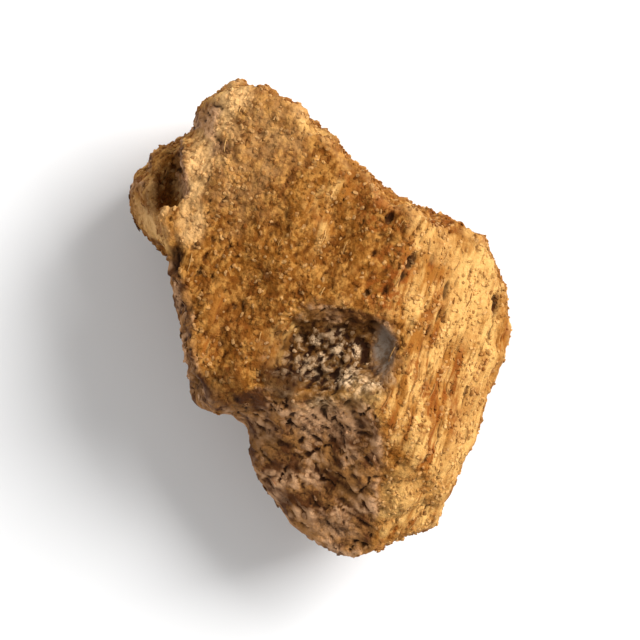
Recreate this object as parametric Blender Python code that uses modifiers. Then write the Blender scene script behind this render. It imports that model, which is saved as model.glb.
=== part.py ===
"""Gentian root chip: one sieved chip of dried, cut gentian root, lying on its flattest cut.

The chip is one solid. Knives gave it flat faces: a broad top, a split face that runs down
along the grain on the right, a cross cut at the far end and steeper cuts underneath. The left
and near-left flanks are still the outside of the root, with its cross wrinkles and a swollen
lobe of bark. A rootlet broke away from the top face and left a rough, sunken scar.

Run with: blender --background --python part.py
Metres, +Z up. X runs across the chip and Y along it. The origin is at the middle of the
underside of its box, on the surface that it rests on.
"""

import math

import bmesh
import bpy
from mathutils import Matrix, Vector, noise

MM = 0.001
WELD = 1e-7
SEED = 7

# Driving dimensions of the finished chip, in millimetres.
CHIP_WIDTH = 9.3
CHIP_LENGTH = 11.6
CHIP_HEIGHT = 5.8

# The direction of the grain, which is the root's own length, turned from +X.
GRAIN_TURN = math.radians(70)
# The direction that the bark's wrinkles follow each other in, as they run round the root.
WRINKLE_TURN = math.radians(42)
# The side where the outside of the root is left, and how squarely a surface has to face it
# before bark begins and where it is bark alone.
BARK_SIDE = Vector((-0.82, -0.56, 0.08))
BARK_BEGINS, BARK_ALONE = 0.25, 0.60

# The chip's plan, clockwise from its far corner, in millimetres. The knives left corners, and
# the bark bends.
CORNER, BEND = "VECTOR", "AUTO"
PLAN = (
    (-1.95, 5.50, CORNER),
    (-0.40, 4.50, CORNER),
    (2.00, 2.60, CORNER),
    (3.95, 1.65, CORNER),
    (4.68, -0.45, BEND),
    (2.95, -5.30, CORNER),
    (0.75, -6.05, CORNER),
    (-1.35, -4.20, BEND),
    (-1.75, -2.70, CORNER),
    (-2.95, -2.15, CORNER),
    (-3.25, -0.60, BEND),
    (-3.75, 1.80, BEND),
    (-3.10, 4.60, BEND),
)
BEND_STEPS = 6
BLANK_HEIGHT = 6.6

# Each cut: a point that it passes through, in millimetres, and the way it faces.
CUTS = {
    "top": ((0.00, 1.00, 5.50), (-0.10, 0.03, 1.00)),
    "split": ((2.10, 1.40, 5.70), (0.84, -0.15, 1.00)),
    "near end": ((1.35, -3.20, 5.35), (0.40, -0.62, 1.00)),
    "far left bevel": ((-3.05, 3.80, 5.15), (-1.10, 0.50, 0.80)),
    "cross cut": ((1.90, 3.10, 4.50), (0.58, 0.82, -0.12)),
    "far corner": ((-1.95, 5.50, 4.00), (-0.45, 0.85, -0.25)),
    "right underside": ((4.62, -0.60, 2.90), (0.75, -0.25, -0.62)),
    "near underside": ((1.70, -5.90, 2.40), (0.10, -0.75, -0.66)),
    "bark underside": ((-2.20, -2.60, 2.20), (-0.70, -0.50, -0.50)),
    "left underside": ((-3.70, 1.00, 2.50), (-0.90, 0.05, -0.42)),
}

# Where a flake broke off the near left down to the bark: the bark's slope and the step above it.
FLAKE = {
    "bark slope": ((0.60, -2.40, 5.15), (-0.52, -0.50, 1.00)),
    "step": ((-1.00, -2.15, 5.35), (-0.10, -1.00, 0.90)),
}

# The swollen lobe of bark low on the far left: middle and half sizes.
LOBE_MIDDLE = (-3.00, 2.70, 2.40)
LOBE_RADII = (1.65, 1.65, 1.90)
# The furrow between the lobe's lip and the flank.
FURROW_MIDDLE = (-3.52, 3.00, 4.15)
FURROW_RADII = (0.40, 0.95, 0.95)
# The pinch where the lobe ends against the flank.
NOTCH_MIDDLE = (-4.02, 1.20, 3.10)
NOTCH_RADII = (0.62, 0.42, 2.40)

# The rootlet's scar in the top face: middle, half sizes, depth, and the share of its half
# sizes where its floor ends and where its rim does. Below SCAR_REACH under it nothing is scar.
SCAR_MIDDLE = (0.20, -1.05, 5.55)
SCAR_RADII = (1.55, 1.10)
SCAR_DEPTH = 0.60
SCAR_FLOOR, SCAR_RIM = 0.55, 1.15
SCAR_REACH = 2.0
# The channel that the rootlet left open at the scar's right edge.
CHANNEL_MIDDLE = (1.50, -0.85, 5.75)
CHANNEL_RADII = (0.45, 0.68, 0.62)

# The even mesh that carries the relief, and the turns of smoothing that wear the cut edges,
# that calm the way the surface faces before the relief, and that settle it afterwards.
VOXEL = 0.12
WEAR_TURNS, WEAR_FACTOR = 5, 0.5
CALM_TURNS = 5
SETTLE_TURNS, SETTLE_FACTOR = 1, 0.4

# The flat spot that the chip lies on: middle, half sizes and the shares of them where it
# ends, how far the rest of the underside stays clear, and the height that it is shaved at.
FOOT_MIDDLE = (-0.10, -0.30)
FOOT_RADII = (2.10, 2.90)
FOOT_ENDS = (0.9, 1.2)
FOOT_CLEARANCE = 0.16
FOOT_SHAVING = 0.04
# How squarely a surface has to face down before it belongs to the underside.
UNDER_BEGINS, UNDER_ALONE = 0.60, 0.90

# Relief, in millimetres: how high it stands, and how far apart it repeats. Fibres run on along
# the grain, and wrinkles run on across it, so each has two pitches, along and across its turn.
SWELL_HEIGHT, SWELL_PITCH = 0.26, 3.1
CRUMB_HEIGHT, CRUMB_PITCH = 0.18, 0.60
FIBRE_HEIGHT, FIBRE_PITCHES = 0.20, (3.3, 0.66)
WRINKLE_HEIGHT, WRINKLE_PITCHES = 0.38, (0.68, 1.90)
WRINKLE_LEVEL, WRINKLE_STEEP = 0.35, 1.6
LUMP_HEIGHT, LUMP_PITCH = 0.50, 0.60
# The share of the crumbs that bark hides.
BARK_SMOOTHS = 0.6

# About how many triangles the finished chip keeps, and the facets of a round cutter.
FACES_KEPT = 8600
ROUND_SEGMENTS, ROUND_RINGS = 32, 20

# The finish, in linear colour: the tan of the cut faces.
ROOT_COLOUR = (0.35, 0.15, 0.04)
ROOT_ROUGHNESS = 0.9


def vector(triple):
    """A place given in millimetres, in metres."""
    return Vector(triple) * MM


def smooth_step(low, high, value):
    """0 below low, 1 above high, and a smooth turn between."""
    share = min(1.0, max(0.0, (value - low) / (high - low)))
    return share * share * (3.0 - 2.0 * share)


def in_pitches(point, turn, along_pitch, across_pitch):
    """The point counted in one pitch along the direction at this turn, and in another across it."""
    along = Vector((math.cos(turn), math.sin(turn), 0.0))
    run = along * point.dot(along)
    return run / (along_pitch * MM) + (point - run) / (across_pitch * MM)


def material(name, colour, roughness):
    """A plain finish in one colour."""
    finish = bpy.data.materials.new(name)
    finish.use_nodes = True
    shader = finish.node_tree.nodes["Principled BSDF"]
    shader.inputs["Base Color"].default_value = (*colour, 1.0)
    shader.inputs["Roughness"].default_value = roughness
    shader.inputs["Metallic"].default_value = 0.0
    return finish


def blank_mesh(collection):
    """The plan drawn up into a block, before the knives cut it."""
    plan = bpy.data.curves.new("plan", "CURVE")
    plan.dimensions = "2D"
    plan.fill_mode = "BOTH"
    plan.extrude = BLANK_HEIGHT * MM / 2
    plan.resolution_u = BEND_STEPS
    outline = plan.splines.new("BEZIER")
    outline.bezier_points.add(len(PLAN) - 1)
    outline.use_cyclic_u = True
    for knot, (x, y, turn) in zip(outline.bezier_points, PLAN):
        knot.co = vector((x, y, 0.0))
        knot.handle_left_type = turn
        knot.handle_right_type = turn
    drawn = bpy.data.objects.new("plan", plan)
    collection.objects.link(drawn)
    bpy.context.view_layer.update()

    mesh = bmesh.new()
    mesh.from_mesh(finished_mesh(drawn))
    bmesh.ops.remove_doubles(mesh, verts=mesh.verts[:], dist=WELD)
    bmesh.ops.translate(mesh, verts=mesh.verts[:], vec=vector((0.0, 0.0, BLANK_HEIGHT / 2)))
    bmesh.ops.recalc_face_normals(mesh, faces=mesh.faces[:])
    bpy.data.objects.remove(drawn)
    return mesh


def knife_cut(mesh, through, facing):
    """Takes away what lies past one flat cut, and closes the mesh along it."""
    whole = mesh.verts[:] + mesh.edges[:] + mesh.faces[:]
    bmesh.ops.bisect_plane(
        mesh, geom=whole, dist=WELD, plane_co=through, plane_no=facing, clear_outer=True
    )
    bmesh.ops.holes_fill(mesh, edges=mesh.edges[:], sides=0)
    bmesh.ops.recalc_face_normals(mesh, faces=mesh.faces[:])


def tool_object(name, mesh, collection):
    """A body that shapes the chip and is no part of it."""
    data = bpy.data.meshes.new(name)
    mesh.to_mesh(data)
    mesh.free()
    body = bpy.data.objects.new(name, data)
    body.hide_render = True
    body.display_type = "WIRE"
    collection.objects.link(body)
    return body


def ellipsoid(name, middle, radii, collection):
    """A round body for the lobe and the hollows."""
    mesh = bmesh.new()
    place = Matrix.Translation(vector(middle)) @ Matrix.Diagonal((*vector(radii), 1.0))
    bmesh.ops.create_uvsphere(
        mesh, u_segments=ROUND_SEGMENTS, v_segments=ROUND_RINGS, radius=1.0, matrix=place
    )
    return tool_object(name, mesh, collection)


def flake(collection):
    """The flake that broke off: what lies outside the bark slope and outside the step."""
    mesh = bmesh.new()
    bmesh.ops.create_cube(mesh, size=4.0 * CHIP_LENGTH * MM)
    for through, facing in FLAKE.values():
        knife_cut(mesh, vector(through), -Vector(facing).normalized())
    return tool_object("flake", mesh, collection)


def carve(chip, body, operation):
    """Joins a round body to the chip, or takes it out."""
    boolean = chip.modifiers.new(body.name, "BOOLEAN")
    boolean.operation = operation
    boolean.solver = "EXACT"
    boolean.object = body


def even_mesh(obj):
    """Lays an even mesh over the object's shape."""
    remesh = obj.modifiers.new("even mesh", "REMESH")
    remesh.mode = "VOXEL"
    remesh.voxel_size = VOXEL * MM


def finished_mesh(obj):
    """The object's shape with its modifiers applied."""
    graph = bpy.context.evaluated_depsgraph_get()
    return bpy.data.meshes.new_from_object(obj.evaluated_get(graph), depsgraph=graph).copy()


def scar_share(point):
    """How far a point of the top face lies inside the rootlet's scar: 0 outside, 1 well in."""
    away = point / MM - Vector(SCAR_MIDDLE)
    reach = math.hypot(away.x / SCAR_RADII[0], away.y / SCAR_RADII[1])
    inside = 1.0 - smooth_step(SCAR_FLOOR, SCAR_RIM, reach)
    return inside * smooth_step(-SCAR_REACH, -SCAR_REACH / 2, away.z)


def foot_share(point):
    """How far a point of the underside belongs to the flat spot: 1 inside, 0 well outside."""
    reach = math.hypot(
        (point.x / MM - FOOT_MIDDLE[0]) / FOOT_RADII[0],
        (point.y / MM - FOOT_MIDDLE[1]) / FOOT_RADII[1],
    )
    return 1.0 - smooth_step(*FOOT_ENDS, reach)


def relief(point, facing):
    """How far the surface stands out at a point, in millimetres."""
    bark = smooth_step(BARK_BEGINS, BARK_ALONE, facing.dot(BARK_SIDE))
    scar = scar_share(point)
    clean = (1.0 - BARK_SMOOTHS * bark) * (1.0 - scar)
    seed = Vector((SEED, 0.0, 0.0))
    swell = noise.noise(point / (SWELL_PITCH * MM) + seed)
    crumb = 0.5 - noise.voronoi(point / (CRUMB_PITCH * MM) + 2.0 * seed)[0][0]
    fibre = noise.noise(in_pitches(point, GRAIN_TURN, *FIBRE_PITCHES) + 3.0 * seed)
    fold = noise.noise(in_pitches(point, WRINKLE_TURN, *WRINKLE_PITCHES) + 4.0 * seed)
    lump = 0.5 - noise.voronoi(point / (LUMP_PITCH * MM) + 5.0 * seed)[0][0]
    height = SWELL_HEIGHT * swell
    height += clean * (CRUMB_HEIGHT * crumb + (1.0 - bark) * FIBRE_HEIGHT * fibre)
    height += bark * WRINKLE_HEIGHT * (WRINKLE_LEVEL - WRINKLE_STEEP * abs(fold))
    height += scar * (LUMP_HEIGHT * lump - SCAR_DEPTH)
    under = smooth_step(UNDER_BEGINS, UNDER_ALONE, -facing.z)
    foot = under * foot_share(point)
    return height * (1.0 - foot) - FOOT_CLEARANCE * (under - foot)


def calm_facings(mesh):
    """The way each point faces, evened out with its neighbours so that edges turn gently."""
    facings = [vertex.normal.copy() for vertex in mesh.verts]
    rings = [[edge.other_vert(vertex).index for edge in vertex.link_edges] for vertex in mesh.verts]
    for _ in range(CALM_TURNS):
        facings = [
            sum((facings[other] for other in ring), facing).normalized()
            for facing, ring in zip(facings, rings)
        ]
    return facings


def raise_relief(data):
    """Moves every point of the even mesh out or in by the relief."""
    mesh = bmesh.new()
    mesh.from_mesh(data)
    mesh.normal_update()
    for vertex, facing in zip(mesh.verts, calm_facings(mesh)):
        vertex.co += facing * relief(vertex.co, facing) * MM
    mesh.to_mesh(data)
    mesh.free()


def fit_box(mesh):
    """Brings the mesh to the chip's own sizes, with the origin under the middle of its box."""
    lows = Vector([min(v.co[i] for v in mesh.verts) for i in range(3)])
    highs = Vector([max(v.co[i] for v in mesh.verts) for i in range(3)])
    sizes = vector((CHIP_WIDTH, CHIP_LENGTH, CHIP_HEIGHT))
    foot = Vector(((lows.x + highs.x) / 2, (lows.y + highs.y) / 2, lows.z))
    scales = [size / (high - low) for size, low, high in zip(sizes, lows, highs)]
    bmesh.ops.translate(mesh, verts=mesh.verts[:], vec=-foot)
    bmesh.ops.scale(mesh, verts=mesh.verts[:], vec=scales)


def gentian_root_chip(collection, cutters):
    """The whole chip: cut, carved, worn, given its relief and set down on its flat underside."""
    mesh = blank_mesh(cutters)
    for through, facing in CUTS.values():
        knife_cut(mesh, vector(through), Vector(facing).normalized())
    data = bpy.data.meshes.new("blank")
    mesh.to_mesh(data)
    mesh.free()
    blank = bpy.data.objects.new("blank", data)
    cutters.objects.link(blank)

    carve(blank, flake(cutters), "DIFFERENCE")
    carve(blank, ellipsoid("lobe", LOBE_MIDDLE, LOBE_RADII, cutters), "UNION")
    carve(blank, ellipsoid("furrow", FURROW_MIDDLE, FURROW_RADII, cutters), "DIFFERENCE")
    carve(blank, ellipsoid("notch", NOTCH_MIDDLE, NOTCH_RADII, cutters), "DIFFERENCE")
    carve(blank, ellipsoid("channel", CHANNEL_MIDDLE, CHANNEL_RADII, cutters), "DIFFERENCE")
    even_mesh(blank)
    wear = blank.modifiers.new("worn edges", "SMOOTH")
    wear.factor = WEAR_FACTOR
    wear.iterations = WEAR_TURNS
    bpy.context.view_layer.update()
    data = finished_mesh(blank)
    raise_relief(data)

    blank.modifiers.clear()
    blank.data = data
    even_mesh(blank)
    settle = blank.modifiers.new("settled", "SMOOTH")
    settle.factor = SETTLE_FACTOR
    settle.iterations = SETTLE_TURNS
    thin = blank.modifiers.new("thinned", "DECIMATE")
    thin.ratio = FACES_KEPT / (2.0 * len(data.polygons))
    data = finished_mesh(blank)

    mesh = bmesh.new()
    mesh.from_mesh(data)
    knife_cut(mesh, vector((0.0, 0.0, FOOT_SHAVING)), Vector((0.0, 0.0, -1.0)))
    fit_box(mesh)
    bmesh.ops.triangulate(mesh, faces=mesh.faces[:])
    mesh.to_mesh(data)
    mesh.free()

    data.shade_smooth()
    data.materials.append(material("dried_root", ROOT_COLOUR, ROOT_ROUGHNESS))
    chip = bpy.data.objects.new("gentian_root_chip", data)
    collection.objects.link(chip)
    bpy.data.objects.remove(blank)
    return chip


def main():
    """Clears the scene and makes the chip."""
    for obj in list(bpy.data.objects):
        bpy.data.objects.remove(obj)
    parts = bpy.data.collections.new("gentian_root")
    cutters = bpy.data.collections.new("cutters")
    for collection in (parts, cutters):
        bpy.context.scene.collection.children.link(collection)
    cutters.hide_render = True
    gentian_root_chip(parts, cutters)


main()
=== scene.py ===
"""The looks of one chip of dried, cut gentian root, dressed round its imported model.

The chip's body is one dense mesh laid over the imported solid, with the fine relief of each kind of
tissue: granular cut faces, a fibrous split face, wrinkled bark and the rough scar of a rootlet.
Crumbled granules, torn fibres and flakes of bark then cling to it. Sizes are in millimetres and
become metres where a mesh or a node takes them. +X is right, +Y is up and +Z towards the camera
in the main view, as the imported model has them.
"""

import logging
import math
from dataclasses import dataclass
from enum import Enum
from functools import reduce
from typing import Any, Iterable

import bmesh
import bpy
import numpy as np
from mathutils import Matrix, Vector, noise


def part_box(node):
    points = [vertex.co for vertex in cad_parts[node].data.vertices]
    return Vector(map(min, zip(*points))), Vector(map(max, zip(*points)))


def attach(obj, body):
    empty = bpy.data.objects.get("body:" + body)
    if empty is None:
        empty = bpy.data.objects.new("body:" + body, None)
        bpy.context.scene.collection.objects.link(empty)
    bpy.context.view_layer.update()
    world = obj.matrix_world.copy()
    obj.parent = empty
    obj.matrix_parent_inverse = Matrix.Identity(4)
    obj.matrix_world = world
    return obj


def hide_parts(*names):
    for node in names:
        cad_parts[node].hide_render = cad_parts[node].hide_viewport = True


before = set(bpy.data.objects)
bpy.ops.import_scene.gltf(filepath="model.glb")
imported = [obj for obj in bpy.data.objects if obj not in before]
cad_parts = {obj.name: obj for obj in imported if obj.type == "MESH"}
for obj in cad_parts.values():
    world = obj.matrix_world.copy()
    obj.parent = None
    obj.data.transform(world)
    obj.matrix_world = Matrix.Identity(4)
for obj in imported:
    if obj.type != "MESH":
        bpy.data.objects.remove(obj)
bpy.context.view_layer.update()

MM = 0.001
WELD = 1e-7
NODE = "gentian_root_chip"
BODY = "root"
# How finely places are pushed about, and what keeps the pushes' three directions apart.
WARP_RATE = 0.7
WARP_SHIFTS = (0.0, 31.4, 62.9)
# What keeps the random numbers of neighbouring grains apart.
CELL_RATE = 61.7
# How often the facings are evened out that bulges are taken along.
BULGE_TURNS = 3
# How finely the corners of a scrap are pushed about.
DENT_RATE = 1.4
LOG = logging.getLogger("gentian")

Colour = tuple[float, float, float]
Triple = tuple[float, float, float]
# Two numbers that belong together, such as where a rise begins and ends.
Span = tuple[float, float]
Ends = tuple[Triple, Triple]
# One number, or one row of them, for each point of a mesh.
Rows = np.ndarray


class Tissue(Enum):
    """The kinds of surface on the chip. Each value names the attribute that holds its share."""

    BARK = "bark"
    SCAR = "scar"
    CHANNEL = "channel"
    SPLIT = "split"


class Tint(Enum):
    """The patches laid over the chip's colours: worn, paler patches with a painted highlight among
    them, cream, rust, and painted shade in the pits, in hollows and where the chip turns from the
    light. Each value names its spots and its attribute.
    """

    WORN = "worn"
    CREAMY = "creamy"
    RUSTY = "rusty"
    SOOTY = "sooty"


class Mark(Enum):
    """What else the mesh tells the materials and the node trees, as one attribute each."""

    HEIGHT = "height"
    RIDGE = "ridge"
    HOLLOW = "hollow"
    CRUMBLE = "crumble"
    FRAY = "fray"
    FLAKE = "flake"
    PALE_LUMP = "pale_lump"
    OWN_TINT = "own_tint"


Name = Tissue | Tint | Mark


def paint(*channels: int) -> Colour:
    """Turns a colour as a screen shows it, 0 to 255 a channel, into linear light, 0 to 1."""
    shares = (channel / 255.0 for channel in channels)
    return tuple(s / 12.92 if s <= 0.04045 else ((s + 0.055) / 1.055) ** 2.4 for s in shares)


def ramp(low: float, high: float, values: Rows) -> Rows:
    """Rises smoothly from 0 at low to 1 at high, at each of the values."""
    share = np.clip((values - low) / (high - low), 0.0, 1.0)
    return share * share * (3.0 - 2.0 * share)


def no_less(least: float, share: Rows) -> Rows:
    """Squeezes shares of 0 to 1 into least to 1."""
    return least + (1.0 - least) * share


def linked(name: str, data: Any) -> bpy.types.Object:
    """Makes an object of a mesh, a light or a camera.

    Args:
        name: The object's name.
        data: What it shows.

    Returns:
        The object, in the scene.
    """
    made = bpy.data.objects.new(name, data)
    bpy.context.scene.collection.objects.link(made)
    return made


def applied(holder: bpy.types.Object) -> bpy.types.Mesh:
    """Makes a plain mesh of an object with its modifiers.

    Args:
        holder: The object, in the scene.

    Returns:
        The mesh, with all its attributes.
    """
    graph = bpy.context.evaluated_depsgraph_get()
    shown = holder.evaluated_get(graph)
    return bpy.data.meshes.new_from_object(shown, preserve_all_data_layers=True, depsgraph=graph)


@dataclass(frozen=True)
class Grain:
    """A direction in the plane of the table that a pattern runs along, with its two pitches."""

    turn: float
    along: float
    across: float

    @property
    def direction(self) -> np.ndarray:
        """The unit vector of the direction."""
        angle = math.radians(self.turn)
        return np.array((math.cos(angle), math.sin(angle), 0.0))

    def count(self, points: Rows) -> Rows:
        """Counts points in pitches, so that even noise on the result is drawn out."""
        run = np.outer(points @ self.direction, self.direction)
        return run / self.along + (points - run) / self.across


@dataclass(frozen=True)
class Spot:
    """An oval spot on the upper side of the chip, in millimetres in the chip's own frame.

    It has its full strength as far as its floor and none past its rim, in shares of its half
    sizes, and fray is how far its edge wanders.
    """

    x: float
    y: float
    long: float
    wide: float
    turn: float = 0.0
    strength: float = 1.0
    floor: float = 0.45
    rim: float = 1.10
    fray: float = 0.35

    def share(self, points: Rows, ragged: Rows) -> Rows:
        """How far each point lies inside the spot.

        Args:
            points: Places in millimetres, one a row.
            ragged: The noise about 0 that its edge wanders with, one for each point.

        Returns:
            The spot's strength on its floor, 0 past its rim, and a smooth fall between.
        """
        away_x, away_y = points[:, 0] - self.x, points[:, 1] - self.y
        angle = math.radians(self.turn)
        long_way = away_x * math.cos(angle) + away_y * math.sin(angle)
        short_way = away_y * math.cos(angle) - away_x * math.sin(angle)
        reach = np.hypot(long_way / self.long, short_way / self.wide) + self.fray * ragged
        return self.strength * (1.0 - ramp(self.floor, self.rim, reach))


@dataclass(frozen=True)
class Pit(Spot):
    """A pit in the upper side, whose rim wanders less."""

    fray: float = 0.25


def warped(places: Rows, seed: float, reach: float) -> Rows:
    """Pushes places about by up to a reach in pitches, so that a pattern is less even."""
    pushes = [Waves(1.0, seed + shift).at(places * WARP_RATE) for shift in WARP_SHIFTS]
    return places + reach * np.column_stack(pushes)


def cells(places: Rows, seed: float) -> tuple[Rows, Rows]:
    """Loose grains, as the space round scattered points.

    Args:
        places: Places in pitches, one a row.
        seed: Shifts the pattern.

    Returns:
        The distance to the middle of the grain that each place is in, and the grain's own
        number, 0 to 1.
    """
    near, own = [], []
    for place in (places + seed).tolist():
        reaches, middles = noise.voronoi(place)
        near.append(reaches[0])
        own.append(noise.cell(middles[0] * CELL_RATE))
    return np.array(near), np.array(own) * 0.5 + 0.5


@dataclass(frozen=True)
class Waves:
    """Seeded soft noise about 0, at every point of a mesh.

    Its size is a pitch in millimetres or a grain, and each layer after the first is half the size
    of the one before. A warp gives the seed and the reach that its places are pushed about with.
    Where it has a rise, it is the share of the way along that instead.
    """

    size: float | Grain
    seed: float
    layers: int = 1
    height: float = 1.0
    rise: Span | None = None
    warp: Span | None = None

    def at(self, points: Rows) -> Rows:
        """Works out the noise.

        Args:
            points: Places in millimetres, one a row.

        Returns:
            How high it is at each place.
        """
        places = self.size.count(points) if isinstance(self.size, Grain) else points / self.size
        if self.warp:
            places = warped(places, *self.warp)
        total = np.zeros(len(places))
        for layer in range(self.layers):
            scale = 2.0**layer
            shifted = places * scale + self.seed * (layer + 1)
            total += np.array([noise.noise(place) for place in shifted.tolist()]) / scale
        return self.height * (ramp(*self.rise, total) if self.rise else total)


class Surface:
    """A mesh's points, in millimetres, with the way they face and the edges between them."""

    def __init__(self, mesh: bpy.types.Mesh) -> None:
        """Reads the mesh.

        Args:
            mesh: A closed mesh in metres.
        """
        self.mesh = mesh
        edges = np.array([edge.vertices[:] for edge in mesh.edges])
        self.edges = np.unique(np.sort(edges, axis=1), axis=0)
        self.degree = np.bincount(self.edges.ravel(), minlength=len(mesh.vertices))
        self.read()

    def read(self) -> None:
        """Takes the points and facings from the mesh."""
        points, facings = np.empty((2, len(self.mesh.vertices) * 3))
        self.mesh.vertices.foreach_get("co", points)
        self.mesh.vertex_normals.foreach_get("vector", facings)
        self.points = points.reshape(-1, 3) / MM
        self.facings = facings.reshape(-1, 3)

    def move(self, points: Rows) -> None:
        """Moves the mesh's points, and reads them again with the way that they face now.

        Args:
            points: Where they go, in millimetres.
        """
        self.mesh.vertices.foreach_set("co", (points * MM).ravel())
        self.mesh.update()
        self.read()

    def spread(self, values: Rows, turns: int) -> Rows:
        """Evens out values with their neighbours'.

        Args:
            values: One number, or one row, for each point.
            turns: How often each point takes half of its neighbours' mean.

        Returns:
            The evened values.
        """
        rows = values.reshape(len(values), -1).astype(float)
        first, second = self.edges[:, 0], self.edges[:, 1]
        for _ in range(turns):
            total = np.empty_like(rows)
            for column in range(rows.shape[1]):
                own = rows[:, column]
                total[:, column] = np.bincount(first, own[second], len(own))
                total[:, column] += np.bincount(second, own[first], len(own))
            rows = 0.5 * rows + 0.5 * total / self.degree[:, None]
        return rows.reshape(values.shape)

    def calm_facings(self, turns: int) -> Rows:
        """The way each point faces, as unit vectors, evened out so many times."""
        calm = self.spread(self.facings, turns)
        return calm / np.linalg.norm(calm, axis=1)[:, None]

    def bulge(self, turns: int) -> Rows:
        """How far each point stands out from the surface round it, taken wider with more turns."""
        away = self.points - self.spread(self.points, turns)
        return np.einsum("ij,ij->i", away, self.calm_facings(BULGE_TURNS))

    def mark(self, name: Name, values: Rows) -> None:
        """Keeps one number for each point, for materials and node trees to read."""
        layer = self.mesh.attributes.new(name.value, "FLOAT", "POINT")
        layer.data.foreach_set("value", values.astype(np.float32))


class Wiring:
    """Adds nodes to a tree and joins them.

    A source is a socket, a node that stands for its first output, or what a tree of its own kind
    can read, such as a mark of the mesh.
    """

    def __init__(self, tree: bpy.types.NodeTree) -> None:
        """Starts on a shader or geometry tree."""
        self.tree = tree

    def add(self, kind: str, settings: dict[str, Any] | None = None, **inputs: Any) -> Any:
        """Adds one node.

        Args:
            kind: The node's type name.
            settings: The node's own options.
            **inputs: What each socket gets, by its place as s0, s1 and so on, or by its name
                with _ for a space. A source is joined, and anything else is set.

        Returns:
            The node.
        """
        node = self.tree.nodes.new(kind)
        for name, value in (settings or {}).items():
            setattr(node, name, value)
        for name, value in inputs.items():
            key = int(name[1:]) if name[1:].isdigit() else name.replace("_", " ")
            self.give(node.inputs[key], value)
        return node

    def read(self, source: Any) -> Any:
        """Takes a node's first output, and leaves anything else as it is."""
        return source.outputs[0] if isinstance(source, bpy.types.Node) else source

    def give(self, socket: Any, value: Any) -> None:
        """Joins a socket to another, or sets its value.

        Args:
            socket: The socket that takes it.
            value: A source, a number, a vector or a colour.
        """
        value = self.read(value)
        if isinstance(value, bpy.types.NodeSocket):
            self.tree.links.new(value, socket)
        elif socket.type == "RGBA" and len(value) == 3:
            socket.default_value = (*value, 1.0)
        else:
            socket.default_value = value

    def maths(self, operation: str, *numbers: Any) -> Any:
        """Adds one sum, such as ADD, on sources or numbers."""
        inputs = {f"s{place}": number for place, number in enumerate(numbers)}
        return self.add("ShaderNodeMath", {"operation": operation}, **inputs)

    def product(self, *numbers: Any) -> Any:
        """Multiplies sources and numbers."""
        return reduce(lambda first, other: self.maths("MULTIPLY", first, other), numbers)


@dataclass(frozen=True)
class Noise:
    """Soft noise about 0.5: its pitch, its finer layers' number and strength, and its grain."""

    pitch: float
    detail: float = 3.0
    rough: float = 0.7
    along: Grain | None = None


@dataclass(frozen=True)
class Fade:
    """A share of something that changes smoothly from least at low to most at high."""

    low: float
    high: float
    most: float = 1.0
    least: float = 0.0
    of: Any = Mark.HEIGHT


class Finish(Wiring):
    """The wiring of a Principled material whose patterns are counted in millimetres."""

    def __init__(self, name: str, roughness: float, gloss: float = 0.5) -> None:
        """Makes the material.

        Args:
            name: The finish's name.
            roughness: How rough it is where nothing changes that, 0 to 1.
            gloss: How strongly it reflects, where 0.5 is a plain plastic's.
        """
        self.material = bpy.data.materials.new(name)
        self.material.use_nodes = True
        super().__init__(self.material.node_tree)
        self.shader = self.tree.nodes["Principled BSDF"]
        self.shader.inputs["Roughness"].default_value = roughness
        self.shader.inputs["Specular IOR Level"].default_value = gloss
        place = self.add("ShaderNodeTexCoord").outputs["Object"]
        self.place = self.add("ShaderNodeMapping", Vector=place, Scale=(1.0 / MM,) * 3)

    def show(self, **inputs: Any) -> None:
        """Gives the shader what its sockets show, by their names with _ for a space."""
        for name, value in inputs.items():
            self.give(self.shader.inputs[name.replace("_", " ")], value)

    def read(self, source: Any) -> Any:
        """Adds the nodes for a mark of the mesh, for noise and for a fade.

        Args:
            source: One of those, or a node, a socket or a value.

        Returns:
            The socket that carries it, or the value as it is.
        """
        if isinstance(source, Enum):
            source = self.add("ShaderNodeAttribute", {"attribute_name": source.value}).outputs["Fac"]
        elif isinstance(source, Noise):
            source = self.add(
                "ShaderNodeTexNoise",
                Vector=self.drawn_out(source.along) if source.along else self.place,
                Scale=1.0 / source.pitch,
                Detail=source.detail,
                Roughness=source.rough,
            )
        elif isinstance(source, Fade):
            source = self.add(
                "ShaderNodeMapRange",
                {"interpolation_type": "SMOOTHSTEP"},
                Value=source.of,
                From_Min=source.low,
                From_Max=source.high,
                To_Min=source.least,
                To_Max=source.most,
            )
        return super().read(source)

    def drawn_out(self, grain: Grain) -> Any:
        """Turns and squeezes millimetres, so that an even pattern on them runs along a grain.

        Args:
            grain: The direction and the two pitches.

        Returns:
            The node that carries the places in pitches.
        """
        kind = {"rotation_type": "Z_AXIS"}
        angle = -math.radians(grain.turn)
        turned = self.add("ShaderNodeVectorRotate", kind, Vector=self.place, Angle=angle)
        scales = (1.0 / grain.along, 1.0 / grain.across, 1.0 / grain.across)
        return self.add("ShaderNodeMapping", Vector=turned, Scale=scales)

    def grains(self, pitch: float) -> Any:
        """Adds loose grains, with the distance from each one's middle and a colour of its own."""
        return self.add("ShaderNodeTexVoronoi", Vector=self.place, Scale=1.0 / pitch)

    def lay(self, under: Any, over: Any, share: Any, mode: str = "MIX") -> Any:
        """Lays one colour over another by a share."""
        settings = {"data_type": "RGBA", "blend_type": mode}
        return self.add("ShaderNodeMix", settings, s0=share, s6=under, s7=over).outputs[2]

    def stack(self, colour: Any, *layers: tuple[Any, ...]) -> Any:
        """Lays more colours over a first one, in order, each by its own share."""
        return reduce(lambda under, layer: self.lay(under, *layer), layers, colour)

    def bump(self, height: Any, depth: float, strength: Any = 1.0, **under: Any) -> Any:
        """Raises relief that the mesh is too coarse for, so many millimetres deep."""
        inputs = {"Height": height, "Distance": depth * MM, "Strength": strength, **under}
        return self.add("ShaderNodeBump", **inputs)


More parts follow.
